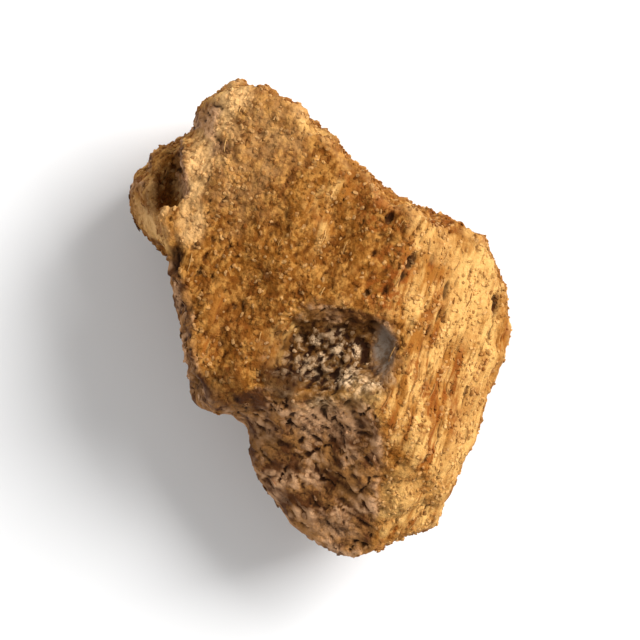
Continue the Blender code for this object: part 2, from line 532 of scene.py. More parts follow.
class RootFinish(Finish):
    """The finish of the chip's body: four tissues, each with its own colours and fine relief."""

    cut_tan: Colour = paint(133, 80, 22)
    # Pale crumbs, also used as a painted highlight on the crests of the relief.
    cut_pale_and_highlight: Colour = paint(196, 138, 66)
    cut_rust: Colour = paint(107, 56, 9)
    # Painted shade for the hollows and the low points of the fine relief.
    shade_brown: Colour = paint(72, 35, 5)
    split_straw: Colour = paint(160, 101, 37)
    split_cream: Colour = paint(224, 174, 101)
    split_rust: Colour = paint(140, 74, 22)
    worn_cream: Colour = paint(231, 182, 119)
    bark_umber: Colour = paint(90, 50, 18)
    bark_clay: Colour = paint(164, 112, 58)
    # The bark's rosy bloom, also used as a painted highlight on its crests.
    bark_bloom_and_highlight: Colour = paint(204, 156, 113)
    # The bark's dark, also used as painted shade in its folds, in the scar's low points and over the
    # painted shade spots.
    bark_dark_and_shade: Colour = paint(46, 20, 4)
    scar_umber: Colour = paint(98, 62, 22)
    # Sand on the scar, also used as a painted highlight on its crests.
    scar_sand_and_highlight: Colour = paint(238, 200, 156)
    scar_ash: Colour = paint(126, 104, 72)
    channel_taupe: Colour = paint(138, 122, 106)
    gloss: float = 0.12
    # Roughness falls from the hollows to the crests, and on bark and in the channel.
    hollow_roughness: float = 0.94
    crest_roughness: float = 0.82
    sheens: tuple[tuple[Tissue, float], ...] = ((Tissue.BARK, 0.20), (Tissue.CHANNEL, 0.15))
    # Sizes in millimetres: the dashes on the split face, the grains, and the relief's depths.
    dash_length: float = 0.45
    dash_width: float = 0.13
    grain_pitch: float = 0.16
    fine_grain_pitch: float = 0.11
    grit: Noise = Noise(0.08)
    grit_depth: float = 0.050
    fine_depth: float = 0.035
    # How much weaker the grit is in the channel, and the grains are on the split face.
    channel_calm: float = 0.50
    split_calm: float = 0.7

    def __init__(self, fibres: Grain, granules: Grain) -> None:
        """Wires the material.

        Args:
            fibres: The direction and pitches of the fibres on the split face.
            granules: The direction and pitches of the grains on the cut faces.
        """
        super().__init__("dried_gentian_root", self.hollow_roughness, self.gloss)
        self.fibres = fibres
        self.granules = granules
        wood = self.weathered(self.lay(self.cut_colour(), self.split_colour(), Tissue.SPLIT))
        taupe = (self.channel_taupe, (self.scar_umber, Fade(0.40, 0.64, 0.70, of=Noise(0.24, 4.0))))
        colour = self.stack(
            self.own_shade(wood, self.worn_cream, self.cut_rust),
            (self.own_shade(self.bark_colour(), self.bark_bloom_and_highlight, self.bark_dark_and_shade), Tissue.BARK),
            (self.own_shade(self.scar_colour(), self.scar_sand_and_highlight, self.bark_dark_and_shade), Tissue.SCAR),
            (self.stack(*taupe), Tissue.CHANNEL),
            # Painted shade, over its spots and in the pits.
            (self.bark_dark_and_shade, Fade(0.0, 1.0, 0.85, of=Tint.SOOTY)),
            # Painted shade multiplied into the hollows of the surface.
            (self.shade_brown, Fade(0.1, 1.0, 0.40, of=Mark.HOLLOW), "MULTIPLY"),
        )
        rough = Fade(-1.0, 1.0, self.crest_roughness, self.hollow_roughness)
        for tissue, sheen in self.sheens:
            rough = self.maths("SUBTRACT", rough, self.product(tissue, sheen))
        self.show(Base_Color=colour, Roughness=rough, Normal=self.fine_relief())

    def own_shade(self, colour: Any, pale: Colour, dark: Colour) -> Any:
        """Makes each loose bit paler or darker than what it lies on, by its own tint, 0 to 1."""
        shares = (Fade(0.5, end, most, of=Mark.OWN_TINT) for end, most in ((1.0, 0.42), (0.0, 0.60)))
        return self.stack(colour, *zip((pale, dark), shares))

    def cut_colour(self) -> Any:
        """Colours the granular cut faces: tan, with pale crumbs and rusty clouds, a painted highlight
        on the crests of the relief and painted shade in its low points.

        Returns:
            The socket with the colour.
        """
        grain = self.grains(self.grain_pitch)
        own = self.add("ShaderNodeSeparateColor", Color=grain.outputs["Color"])
        return self.stack(
            self.cut_rust,
            (self.cut_tan, Fade(0.36, 0.60, 1.0, 0.45, Noise(1.8, 4.0, 0.65))),
            (self.cut_pale_and_highlight, Fade(0.46, 0.70, 0.85, of=Noise(1.0, 3.0, 0.65, self.granules))),
            (self.cut_rust, Fade(0.46, 0.30, 0.75, of=Noise(0.8, 3.0, 0.6, self.granules))),
            (self.cut_pale_and_highlight, Fade(0.70, 0.98, 0.5, of=own)),
            (self.cut_rust, Fade(0.25, 0.0, 0.6, of=own)),
            # A painted highlight on the relief's crests, then painted shade in its low points.
            (self.cut_pale_and_highlight, Fade(0.1, 0.9, 0.45)),
            (self.shade_brown, Fade(-0.1, -0.9, 0.60)),
        )

    def split_colour(self) -> Any:
        """Colours the split face: straw and cream fibres with rusty slots and tan dashes, and painted
        shade in the relief's low points.

        Returns:
            The socket with the colour.
        """
        streaks = self.read(Noise(1.0, 3.0, 0.6, self.fibres))
        light = self.maths("ADD", self.product(streaks, 0.5), self.product(Noise(1.1, 4.0, 0.65), 0.5))
        dashes = Grain(self.fibres.turn, self.dash_length, self.dash_width)
        return self.stack(
            self.split_straw,
            (self.split_cream, Fade(0.44, 0.62, of=light)),
            (self.split_rust, Fade(0.54, 0.68, 0.75, of=Noise(1.3, 4.0))),
            (self.split_rust, Fade(0.46, 0.33, 0.90, of=streaks)),
            (self.cut_tan, Fade(0.43, 0.30, 0.75, of=Noise(1.0, 2.0, 0.6, dashes))),
            # Painted shade in the relief's low points.
            (self.shade_brown, Fade(-0.1, -0.9, 0.60)),
        )

    def weathered(self, colour: Any) -> Any:
        """Adds the cut and split faces' own patches: worn edges and paler patches, cream and rust.

        Args:
            colour: The colour that they lie on.

        Returns:
            The socket with the colour.
        """
        ragged = self.read(Fade(0.32, 0.60, 1.0, 0.35, Noise(0.30)))
        worn = self.maths("MAXIMUM", Fade(0.25, 0.9, 0.6, of=Mark.RIDGE), Tint.WORN)
        return self.stack(
            colour,
            (self.worn_cream, self.product(worn, ragged)),
            (self.split_cream, self.product(Tint.CREAMY, ragged)),
            (self.split_rust, self.product(Tint.RUSTY, Fade(0.42, 0.58, of=Noise(0.26)))),
        )

    def bark_colour(self) -> Any:
        """Colours the bark: umber folds, with a greyish, rosy painted highlight on their crests and
        the same rose on worn patches, and painted shade low in the folds.

        Returns:
            The socket with the colour.
        """
        # A painted highlight on the crests of the folds.
        crest = self.product(Fade(-0.5, 0.5), Fade(0.46, 0.64, of=Noise(0.60, 2.0, 0.55)))
        worn = self.product(Tint.WORN, Fade(0.40, 0.58, 1.0, 0.30, Noise(0.24)))
        return self.stack(
            self.bark_umber,
            (self.bark_clay, Fade(0.43, 0.60, of=Noise(0.8, 4.0))),
            (self.bark_bloom_and_highlight, self.maths("MAXIMUM", crest, worn)),
            # Painted shade low in the folds.
            (self.bark_dark_and_shade, Fade(0.0, -0.8, 0.9)),
        )

    def scar_colour(self) -> Any:
        """Colours the rootlet's scar: dark corky lumps, some sandy and some ashen, with a painted
        highlight on the relief's crests and painted shade in its low points.
        """
        lumps = self.maths("MAXIMUM", Tint.WORN, Mark.PALE_LUMP)
        return self.stack(
            self.scar_umber,
            (self.scar_sand_and_highlight, Fade(0.52, 0.70, 0.30, of=Noise(0.40, 4.0, 0.75))),
            (self.scar_ash, Fade(0.50, 0.68, 0.5, of=Noise(0.6, 2.0, 0.6))),
            # A painted highlight on the relief's crests.
            (self.scar_sand_and_highlight, Fade(0.3, 1.0, 0.30)),
            (self.scar_sand_and_highlight, self.product(lumps, Fade(0.38, 0.56, of=Noise(0.13, 3.0, 0.75)))),
            # Painted shade in the relief's low points.
            (self.bark_dark_and_shade, Fade(0.10, -0.7, 0.95)),
        )

    def fine_relief(self) -> Any:
        """Raises relief finer than the mesh: grit and grains, and fine fibres on the split face.

        Returns:
            The node with the normal.
        """
        gritty = self.maths("SUBTRACT", 1.0, self.product(Tissue.CHANNEL, self.channel_calm))
        grainy = self.maths("SUBTRACT", gritty, self.product(Tissue.SPLIT, self.split_calm))
        hairs = Grain(self.fibres.turn, self.fibres.along * 0.5, self.fibres.across * 0.4)
        grit = self.bump(self.grit, self.grit_depth, gritty)
        grains = self.bump(self.grains(self.fine_grain_pitch), -self.fine_depth, grainy, Normal=grit)
        return self.bump(Noise(1.0, 2.0, 0.6, hairs), self.fine_depth, Tissue.SPLIT, Normal=grains)


class FibreFinish(Finish):
    """The finish of the torn fibres: one colour to another by each fibre's own tint."""

    dark: Colour = paint(140, 90, 40)
    pale: Colour = paint(216, 168, 102)
    speckles: Fade = Fade(0.40, 0.62, 0.5, of=Noise(0.05, 2.0, 0.6))
    fuzz: Noise = Noise(0.03, 2.0, 0.6)
    fuzz_depth: float = 0.01
    roughness: float = 0.9
    gloss: float = 0.12

    def __init__(self) -> None:
        """Wires the material."""
        super().__init__("torn_fibre_ends", self.roughness, self.gloss)
        colour = self.stack(self.dark, (self.pale, Mark.OWN_TINT), (self.dark, self.speckles))
        self.show(Base_Color=colour, Normal=self.bump(self.fuzz, self.fuzz_depth))


class GeometryWiring(Wiring):
    """The wiring of a geometry tree with named inputs, on an object that carries it."""

    def __init__(self, name: str) -> None:
        """Makes the tree with its geometry sockets.

        Args:
            name: The tree's name.
        """
        super().__init__(bpy.data.node_groups.new(name, "GeometryNodeTree"))
        for socket, way in (("Geometry", "OUTPUT"), ("Body", "INPUT")):
            self.tree.interface.new_socket(socket, in_out=way, socket_type="NodeSocketGeometry")
        self.values: dict[str, Any] = {}
        self.entry = self.tree.nodes.new("NodeGroupInput")

    def named(self, name: str, value: float | int | Triple) -> Any:
        """Adds a named input.

        Args:
            name: What it sets, in plain words.
            value: The value that the modifier gives it, whose type says which socket it gets.

        Returns:
            The socket inside the tree.
        """
        kinds = {float: "NodeSocketFloat", int: "NodeSocketInt", tuple: "NodeSocketVector"}
        made = self.tree.interface.new_socket(name, in_out="INPUT", socket_type=kinds[type(value)])
        self.values[made.identifier] = value
        return self.entry.outputs[name]

    def read(self, source: Any) -> Any:
        """Adds the node for a mark of the mesh, and leaves anything else as it is."""
        if isinstance(source, Enum):
            source = self.add("GeometryNodeInputNamedAttribute", Name=source.value)
        return super().read(source)

    def scaled(self, vector: Any, share: Any) -> Any:
        """Makes a vector longer or shorter."""
        return self.add("ShaderNodeVectorMath", {"operation": "SCALE"}, s0=vector, Scale=share)

    def chance(self, low: float | Triple, high: float | Triple, seed: Any) -> Any:
        """A random number or vector for each instance.

        Args:
            low: The least.
            high: The most.
            seed: The socket with the seed.

        Returns:
            The socket that carries it.
        """
        kind, first = ("FLOAT_VECTOR", 0) if isinstance(low, tuple) else ("FLOAT", 2)
        ends = {f"s{first}": low, f"s{first + 1}": high}
        made = self.add("FunctionNodeRandomValue", {"data_type": kind}, Seed=seed, **ends)
        return made.outputs[first // 2]

    def grow(self, name: str, carrier: bpy.types.Mesh) -> bpy.types.Object:
        """Runs the tree on a mesh and keeps the result as a plain mesh.

        Args:
            name: The new piece's name.
            carrier: The mesh that the tree scatters on.

        Returns:
            The new piece, with no modifier left.
        """
        holder = linked(name, carrier)
        modifier = holder.modifiers.new(name, "NODES")
        modifier.node_group = self.tree
        for identifier, value in self.values.items():
            modifier[identifier] = value
        holder.data.update()
        made = applied(holder)
        holder.modifiers.clear()
        holder.data = made
        return holder


@dataclass
class ChipBody:
    """The body of the chip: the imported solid's form under a dense mesh with its fine relief."""

    voxel: float = 0.067
    smooth_turns: int = 4

    # The patterns: their sizes, seeds, layers and heights, and where they set in.
    fibres: Grain = Grain(70.0, 2.6, 0.28)
    granules: Grain = Grain(62.0, 0.30, 0.20)
    lumps: Grain = Grain(15.0, 0.40, 0.27)
    ragged: Waves = Waves(0.55, 3.1, 3)
    grit: Waves = Waves(0.15, 3.0, 2, 0.04)
    tears: Waves = Waves(1.4, 5.0, 3, 0.10)
    pores: Waves = Waves(Grain(62.0, 0.34, 0.18), 23.0, 2, 0.10, (0.36, 0.70))
    pore_patches: Waves = Waves(1.9, 53.0, rise=(-0.15, 0.35))
    threads: Waves = Waves(fibres, 7.0, 3, warp=(2.0, 0.5))
    slots: Waves = Waves(Grain(70.0, 0.95, 0.17), 41.0, 2, 0.08, (0.40, 0.72))
    fine_threads: Waves = Waves(Grain(70.0, 0.70, 0.14), 19.0, 2, 0.05)
    folds: Waves = Waves(Grain(42.0, 0.30, 0.72), 13.0, 3, warp=(4.0, 0.6))
    skin: Waves = Waves(0.28, 17.0, 2, 0.25)
    crack_lines: Waves = Waves(0.95, 37.0, 2, warp=(6.0, 0.6))
    crack_patches: Waves = Waves(0.62, 43.0, rise=(-0.10, 0.25))
    hollows: Waves = Waves(0.62, 33.0, 3, 0.17)
    scar_grit: Waves = Waves(0.15, 31.0, 2, 0.08)
    clusters: Waves = Waves(0.7, 59.0, 2, rise=(-0.35, 0.45))
    crumb_seed: float = 11.0
    crumb_warp: Span = (1.0, 0.4)
    crumb_height: float = 0.085
    crumb_reach: float = 0.55
    lowest_grain: float = 0.3
    fibre_height: float = 0.09
    fibre_reach: float = 0.35
    wrinkle_height: float = 0.135
    fold_reach: float = 0.30
    fold_rate: float = 1.1
    crack_depth: float = 0.07
    crack_rise: Span = (0.09, 0.01)
    lump_seed: float = 29.0
    # The rate, the seed and the reach of each push that bends the lumps.
    lump_warps: tuple[Triple, ...] = ((1.0, 8.0, 0.6), (2.0, 12.0, 0.6))
    lump_height: float = 0.13
    lump_reach: float = 0.45
    pale_lump: float = 0.85
    pale_own: Span = (0.70, 0.84)
    pale_near: Span = (0.66, 0.36)
    pit_depth: float = 0.16
    lift_turns: int = 4
    # How much of the crumbs, tears and grit is left on the split face.
    split_crumbs: float = 0.3
    split_tears: float = 0.8
    split_grit: float = 0.4

    # Where each tissue sets in, by the way that the surface faces, and by height and place.
    facing_turns: int = 40
    bark_side: Triple = (-0.82, -0.56, 0.08)
    bark_facing: Span = (0.34, 0.46)
    left_facing: Span = (0.14, -0.06)
    bark_right: Span = (0.55, 0.15)
    split_side: Triple = (0.64, -0.20, 0.74)
    split_facing: Span = (0.80, 0.92)
    flank_facing: Span = (0.60, 0.35)
    flank_split: float = 0.8
    end_facing: Span = (0.45, 0.75)
    lobe_facing: Span = (-0.2, 0.2)
    upper_facing: Span = (0.0, 0.3)
    upper_side: float = 2.2
    border_fray: float = 0.10
    foot_height: float = 0.25
    bit_height: Span = (0.30, 0.60)
    scar: Spot = Spot(0.21, -0.95, 1.75, 1.22, 0.0, 1.0, 0.50, 1.10, 0.30)
    channel: Spot = Spot(1.50, -0.74, 0.68, 0.36, 86.0, 1.0, 0.55, 1.05, 0.22)
    bark_patch: Spot = Spot(-0.35, -3.90, 2.70, 2.10, -55.0, 1.0, 0.80, 1.02, 0.15)
    lobe: Spot = Spot(-3.95, 2.40, 1.05, 0.85, 100.0, 1.0, 0.65, 1.10, 0.2)

    # The section that the cut ends show: the root's heart, its cambium's ring and its rays.
    heart: Triple = (2.5, 0.0, 1.0)
    cambium_reach: float = 4.2
    cambium_width: Span = (0.16, 0.032)
    cambium_sway: Waves = Waves(1.4, 67.0, 2, 0.5)
    rays: Waves = Waves(1.0, 61.0, 2, warp=(9.0, 0.4))
    ray_pitch: float = 0.34
    ray_length: float = 2.4
    ray_height: float = 0.06
    ray_rise: Span = (0.05, 0.55)
    ray_rust: float = 0.5
    ray_cream: float = 0.7
    ring_rust: float = 0.8
    # How strongly painted shade darkens the pits.
    pit_painted_shade: float = 0.8

    # The bulges that count as a full height, hollow and ridge, and how widely they are taken.
    full_height: float = 0.035
    full_hollow: float = 0.05
    full_ridge: float = 0.14
    fine_turns: int = 6
    ridge_turns: int = 60

    # What is left of the crumbs between clusters, how many fewer of them the scar has, what is
    # left of the fibres off the split face, and how faces set in that fibres can be torn from.
    crumbs_between: float = 0.3
    scar_calm: float = 0.6
    fray_off_split: float = 0.3
    fray_along: Span = (0.5, 0.2)
    fray_turns: int = 8

    pits: tuple[Pit, ...] = (
        Pit(4.24, 0.34, 0.46, 0.13, 85.0),
        Pit(2.20, 1.40, 0.26, 0.13, 60.0),
        Pit(1.65, 2.45, 0.22, 0.11, 60.0),
        Pit(2.02, 1.05, 0.20, 0.10, 70.0),
        Pit(1.55, 0.72, 0.17, 0.10, 60.0, 0.8),
        Pit(1.12, 0.66, 0.13, 0.09, 60.0, 0.7),
        Pit(1.30, 1.60, 0.14, 0.09, 50.0, 0.7),
        Pit(3.05, 0.70, 0.26, 0.08, 72.0, 0.7),
        Pit(2.62, -0.30, 0.24, 0.07, 70.0, 0.7),
        Pit(-3.47, 1.50, 0.40, 0.27, 60.0),
    )
    # Where each tint lies.
    worn: tuple[Spot, ...] = (
        Spot(-2.25, 5.00, 1.20, 0.50, 58.0, 1.0),
        Spot(-2.90, 3.65, 1.05, 0.55, 68.0, 1.0),
        Spot(-3.10, 2.45, 0.90, 0.42, 88.0, 0.7),
        Spot(-4.20, 2.15, 0.95, 0.50, 118.0, 0.9),
        Spot(-1.70, 4.10, 2.50, 1.60, 60.0, 0.36, 0.0, 1.10),
        Spot(0.05, -2.42, 1.10, 0.50, -4.0, 1.0),
        Spot(0.40, -5.10, 0.70, 0.45, 0.0, 0.6),
        Spot(0.92, -1.52, 0.50, 0.30, 0.0, 0.9),
        # A painted highlight: a tiny white speck on the scar.
        Spot(-0.10, -0.48, 0.16, 0.14, 0.0, 1.0),
        Spot(0.90, -0.81, 0.14, 0.12, 0.0, 0.9),
        Spot(0.66, -1.28, 0.42, 0.22, 20.0, 0.6),
        Spot(-0.23, -1.18, 0.40, 0.24, -50.0, 0.5),
        Spot(-0.50, -0.45, 0.16, 0.11, 0.0, 0.5),
        Spot(0.28, -0.36, 0.18, 0.10, 0.0, 0.5),
    )
    creamy: tuple[Spot, ...] = (
        Spot(0.95, -1.80, 0.85, 0.35, -8.0, 0.6),
        Spot(3.60, 0.55, 1.30, 0.60, 80.0, 0.8),
        Spot(1.80, -4.25, 0.80, 0.50, 60.0, 0.8),
        Spot(3.40, -2.90, 1.90, 0.45, 70.0, 0.6),
        Spot(2.90, 1.70, 0.90, 0.45, 150.0, 0.6),
    )
    rusty: tuple[Spot, ...] = (
        Spot(-1.90, -0.60, 1.30, 0.90, 0.0, 0.3),
        Spot(1.65, 1.05, 1.30, 0.60, 75.0, 0.95),
        Spot(1.30, 2.70, 1.20, 0.60, 130.0, 0.7),
        Spot(2.60, -1.85, 0.55, 0.30, 70.0, 0.8),
        Spot(2.25, -1.20, 0.40, 0.22, 60.0, 0.7),
        Spot(2.50, -2.45, 0.45, 0.26, 90.0, 0.7),
        Spot(3.20, -2.50, 0.40, 0.22, 60.0, 0.6),
        Spot(2.72, 0.25, 0.70, 0.26, 75.0, 0.6),
    )
    # Where painted shade lies: under the scar's upper rim, at the channel's left edge, in the hollow
    # by the lobe, and where the top's lower left and the bark turn from the light. The first two spots
    # darken the top's lower left and the scar's lower left.
    sooty: tuple[Spot, ...] = (
        Spot(-1.60, -0.40, 2.10, 1.20, -10.0, 0.22),
        Spot(-1.05, -1.40, 0.75, 0.45, -20.0, 0.70),
        Spot(-2.35, -1.65, 1.00, 0.62, -30.0, 0.60),
        Spot(-1.35, -3.05, 1.00, 0.65, -50.0, 0.46),
        Spot(1.10, -0.78, 0.40, 0.17, 84.0, 0.85),
        Spot(0.60, -0.35, 1.15, 0.45, -4.0, 0.45),
        Spot(-3.78, 3.35, 1.05, 0.40, 62.0, 0.5),
    )

    def dense_mesh(self) -> bpy.types.Mesh:
        """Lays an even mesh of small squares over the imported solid.

        Returns:
            The dense mesh, in metres.
        """
        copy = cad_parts[NODE].data.copy()
        mesh = bmesh.new()
        mesh.from_mesh(copy)
        bmesh.ops.remove_doubles(mesh, verts=mesh.verts[:], dist=WELD)
        mesh.to_mesh(copy)
        mesh.free()
        copy.materials.clear()
        holder = linked("dense", copy)
        remesh = holder.modifiers.new("even mesh", "REMESH")
        remesh.mode = "VOXEL"
        remesh.voxel_size = self.voxel * MM
        dense = applied(holder)
        bpy.data.objects.remove(holder)
        return dense

    def upper(self, points: Rows, facings: Rows) -> Rows:
        """Where the upper side is, which spots and pits lie on: 1 well up, 0 below and under."""
        return ramp(*self.upper_facing, facings[:, 2]) * ramp(0.0, 1.0, points[:, 2] - self.upper_side)

    def across(self, facings: Rows) -> Rows:
        """Where the chip was cut across the grain: 1 on the cut ends, 0 along the grain."""
        return ramp(*self.end_facing, np.abs(facings @ self.fibres.direction))

    def tissues(self, points: Rows, facings: Rows, ragged: Rows) -> dict[Tissue, Rows]:
        """Works out where each kind of tissue is.

        Args:
            points: Places in millimetres, one a row.
            facings: The way the surface faces there, evened out.
            ragged: What frays the edges between tissues, about 0.

        Returns:
            The share of each tissue at each point.
        """
        border = self.border_fray * ragged
        bark = ramp(*self.bark_facing, facings @ np.array(self.bark_side) + border)
        left_of_ridge = ramp(*self.left_facing, facings[:, 0])
        well_left = ramp(*self.bark_right, points[:, 0] + 2.0 * border)
        patch = self.bark_patch.share(points, ragged)
        bark = np.maximum(bark, np.maximum(left_of_ridge, well_left) * patch)
        facing_up = ramp(*self.lobe_facing, facings[:, 2])
        bark *= 1.0 - facing_up * self.lobe.share(points, ragged)
        split = ramp(*self.split_facing, facings @ np.array(self.split_side) + border)
        flank = ramp(*self.flank_facing, facings[:, 2]) * (1.0 - self.across(facings))
        split = np.maximum(split, self.flank_split * flank)
        upper = self.upper(points, facings)
        scar = upper * self.scar.share(points, ragged)
        channel = upper * self.channel.share(points, ragged)
        clean = (1.0 - scar) * (1.0 - channel)
        return {
            Tissue.BARK: bark * clean,
            Tissue.SPLIT: split * (1.0 - bark) * clean,
            Tissue.SCAR: scar * (1.0 - channel),
            Tissue.CHANNEL: channel,
        }

    def section(self, points: Rows) -> tuple[Rows, Rows]:
        """The pattern of a cut across the root: rays from its heart, and its cambium's ring.

        Args:
            points: Places in millimetres, one a row.

        Returns:
            The rays, about 0, and the share of the ring, 0 to 1.
        """
        grain = self.fibres.direction
        away = points - np.array(self.heart)
        away -= np.outer(away @ grain, grain)
        reach = np.linalg.norm(away, axis=1)
        angle = np.arctan2(away[:, 2], away @ np.cross(grain, (0.0, 0.0, 1.0)))
        round_way = angle * self.cambium_reach / self.ray_pitch
        places = np.column_stack((round_way, reach / self.ray_length, points @ grain))
        off_ring = np.abs(reach - self.cambium_reach + self.cambium_sway.at(points))
        return self.rays.at(places), ramp(*self.cambium_width, off_ring)

    def cut_relief(self, points: Rows, split: Rows) -> Rows:
        """The relief of cut and split tissue: crumbs, grit, tears and pores, or fibres and slots.

        Args:
            points: Places in millimetres, one a row.
            split: The share of split tissue at each.

        Returns:
            How far each point stands out, in millimetres.
        """
        places = warped(self.granules.count(points), *self.crumb_warp)
        near, own = cells(places, self.crumb_seed)
        crumbs = self.crumb_height * (self.crumb_reach - near) * (self.lowest_grain + own)
        grit, tears = self.grit.at(points), self.tears.at(points)
        granular = crumbs + tears - self.pores.at(points) * self.pore_patches.at(points)
        ridges = self.fibre_height * (self.fibre_reach - np.abs(self.threads.at(points)))
        fibrous = ridges + self.split_crumbs * crumbs + self.split_tears * tears
        fibrous += self.fine_threads.at(points) - self.slots.at(points)
        fibrous -= (1.0 - self.split_grit) * grit
        return granular + split * (fibrous - granular) + grit

    def bark_relief(self, points: Rows) -> Rows:
        """The relief of bark: wrinkles with skin between them, and cracks.

        Args:
            points: Places in millimetres, one a row.

        Returns:
            How far each point stands out, in millimetres.
        """
        lines = np.abs(self.crack_lines.at(points))
        cracks = self.crack_depth * ramp(*self.crack_rise, lines) * self.crack_patches.at(points)
        folds = self.fold_reach - self.fold_rate * np.abs(self.folds.at(points))
        folds += self.skin.at(points)
        return self.wrinkle_height * folds - cracks

    def scar_relief(self, points: Rows) -> tuple[Rows, Rows]:
        """The relief of the scar: corky lumps of many sizes, the highest of them pale.

        Args:
            points: Places in millimetres, one a row.

        Returns:
            How far each point stands out, in millimetres, and how pale it is, 0 to 1.
        """
        bent = self.lumps.count(points)
        for rate, seed, reach in self.lump_warps:
            bent = warped(bent * rate, seed, reach) / rate
        near, own = cells(bent, self.lump_seed)
        height = self.lump_height * (self.lump_reach - near) * (self.lowest_grain + own)
        height += self.hollows.at(points) + self.scar_grit.at(points)
        return height, self.pale_lump * ramp(*self.pale_own, own) * ramp(*self.pale_near, near)

    def build(self, material: bpy.types.Material) -> bpy.types.Object:
        """Makes the body with its relief, its marks and its material.

        Args:
            material: The finish of the body.

        Returns:
            The finished piece.
        """
        surface = Surface(self.dense_mesh())
        surface.move(surface.spread(surface.points, self.smooth_turns))
        LOG.info("dense mesh: %d points", len(surface.points))
        points = surface.points
        facings = surface.calm_facings(self.facing_turns)
        ragged = self.ragged.at(points)
        tissue = self.tissues(points, facings, ragged)
        bark, scar, channel, split = (tissue[kind] for kind in Tissue)
        plain = (1.0 - bark) * (1.0 - scar) * (1.0 - channel)
        ends = plain * self.across(facings)
        upper = self.upper(points, surface.facings)
        pits = upper * np.max([pit.share(points, ragged) for pit in self.pits], axis=0)
        ridge = surface.bulge(self.ridge_turns)

        lumps, pale = self.scar_relief(points)
        rays, ring = self.section(points)
        height = plain * self.cut_relief(points, split) - self.pit_depth * pits
        height += bark * self.bark_relief(points) + scar * lumps
        height += self.ray_height * ends * (rays - ring)
        foot = ramp(0.0, self.foot_height, points[:, 2])
        raised = points + surface.calm_facings(self.lift_turns) * (height * foot)[:, None]
        raised[:, 2] = np.maximum(raised[:, 2], 0.0)
        surface.move(raised)

        rusty_rays = self.ray_rust * ramp(*self.ray_rise, rays)
        grown = {
            # Painted shade in the pits.
            Tint.SOOTY: self.pit_painted_shade * pits,
            Tint.RUSTY: ends * np.maximum(self.ring_rust * ring, rusty_rays),
            Tint.CREAMY: ends * self.ray_cream * ramp(*self.ray_rise, -rays),
        }
        tints = {}
        for tint in Tint:
            spots = [spot.share(points, ragged) for spot in getattr(self, tint.value)]
            tints[tint] = np.maximum(upper * np.max(spots, axis=0), grown.get(tint, 0.0))
        fine = surface.bulge(self.fine_turns)
        clear = ramp(*self.bit_height, points[:, 2])
        bare = (1.0 - bark) * (1.0 - channel) * clear
        along = np.abs(surface.calm_facings(self.fray_turns) @ self.fibres.direction)
        crumbly = no_less(self.crumbs_between, self.clusters.at(points))
        frayed = ramp(*self.fray_along, along) * no_less(self.fray_off_split, split)
        marks = {
            # The fine relief's height, which places painted highlights on its crests and painted shade
            # in its low points.
            Mark.HEIGHT: np.clip(fine / self.full_height, -1.0, 1.0),
            # Where the surface is hollow, which places painted shade.
            Mark.HOLLOW: np.clip(-fine / self.full_hollow, 0.0, 1.0),
            Mark.RIDGE: np.clip(ridge / self.full_ridge, -1.0, 1.0),
            Mark.CRUMBLE: bare * crumbly * (1.0 - self.scar_calm * scar),
            Mark.FRAY: bare * frayed * (1.0 - scar),
            Mark.FLAKE: bark * clear,
            Mark.PALE_LUMP: scar * pale,
            Mark.OWN_TINT: np.full(len(points), 0.5),
        }
        for name, values in (tissue | tints | marks).items():
            surface.mark(name, values)

        surface.mesh.shade_smooth()
        surface.mesh.materials.append(material)
        return linked("chip_body", surface.mesh)


@dataclass
class Clinging:
    """What all the small bits that cling to the chip have in common.

    A mark of the body says how thickly they lie. Each bit has a scale and a turn, in radians,
    between the two that its kind has as ends.
    """

    density: float
    seed: int
    piece: str
    mark: Mark
    scales: Ends
    turns: Ends

    def bit(self, tree: GeometryWiring) -> Any:
        """Makes one bit."""
        raise NotImplementedError

    def laid(self, tree: GeometryWiring, points: Any) -> Any:
        """Lays each bit flat on the body."""
        return points.outputs["Rotation"]

    def scale(self, tree: GeometryWiring, seed: Any) -> Any:
        """Makes each bit its own size and shape."""
        return tree.chance(*self.scales, seed)

    def build(self, body: bpy.types.Object, material: bpy.types.Material) -> bpy.types.Object:
        """Scatters the bits over the body.

        Args:
            body: The finished body.
            material: What the bits are made of.

        Returns:
            The bits as one plain mesh.
        """
        tree = GeometryWiring(self.piece)
        density = tree.named("Bits per Area", self.density / MM**2)
        seed = tree.named("Seed", self.seed)
        points = tree.add(
            "GeometryNodeDistributePointsOnFaces",
            Mesh=tree.entry.outputs["Body"],
            Density=tree.product(self.mark, density),
            Seed=seed,
        )
        wild = tree.chance(*self.turns, seed)
        turned = tree.add(
            "FunctionNodeRotateRotation",
            {"rotation_space": "LOCAL"},
            Rotation=self.laid(tree, points),
            Rotate_By=tree.add("FunctionNodeEulerToRotation", Euler=wild),
        )
        placed = tree.add(
            "GeometryNodeInstanceOnPoints",
            Points=points,
            Instance=self.bit(tree),
            Rotation=turned,
            Scale=self.scale(tree, seed),
        )
        tinted = tree.add(
            "GeometryNodeStoreNamedAttribute",
            {"data_type": "FLOAT", "domain": "INSTANCE"},
            Geometry=placed,
            Name=Mark.OWN_TINT.value,
            Value=tree.chance(0.0, 1.0, seed),
        )
        real = tree.add("GeometryNodeRealizeInstances", Geometry=tinted)
        dressed = tree.add("GeometryNodeSetMaterial", Geometry=real, Material=material)
        tree.add("NodeGroupOutput", Geometry=dressed)
        return tree.grow(self.piece, body.data)


